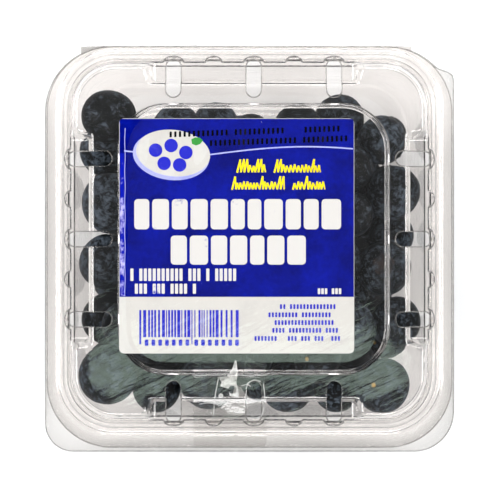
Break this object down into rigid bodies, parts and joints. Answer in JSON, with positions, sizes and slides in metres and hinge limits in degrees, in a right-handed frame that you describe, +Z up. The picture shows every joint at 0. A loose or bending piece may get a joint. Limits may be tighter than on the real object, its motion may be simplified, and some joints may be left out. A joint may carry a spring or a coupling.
{
  "type": "punnet of blueberries",
  "caption": "Shut clear plastic punnet filled with ripe blueberries, with a hinged vented lid, a square printed label on its raised panel and a strip of clear tape.",
  "frame": {"origin": "middle of the outer box at the surface it stands on", "axes": "+Z up; +Y to the hinge at the back; +X to the right of the lid seen from above with the hinge at the top"},
  "size_m": [0.1066, 0.1058, 0.037],
  "materials": {
    "clear_plastic": "clear thermoformed PET, glossy",
    "berry_skin": "ripe blueberry skin, dark blue with a thin pale bloom",
    "label_paper": "semi-gloss printed film label, blue over white",
    "clear_tape": "clear adhesive tape, glossy, a few trapped air patches"
  },
  "bodies": {
    "tub": {"tub": "clear_plastic", "berries": "berry_skin"},
    "lid": {"lid": "clear_plastic", "label": "label_paper", "seal_tape": "clear_tape"}
  },
  "joints": [
    {"name": "lid_hinge", "type": "hinge", "parent": "tub", "child": "lid", "pos_m": [0, 0.05303, 0.02515], "axis": [-1, 0, 0], "range_deg": [0, 180]}
  ]
}
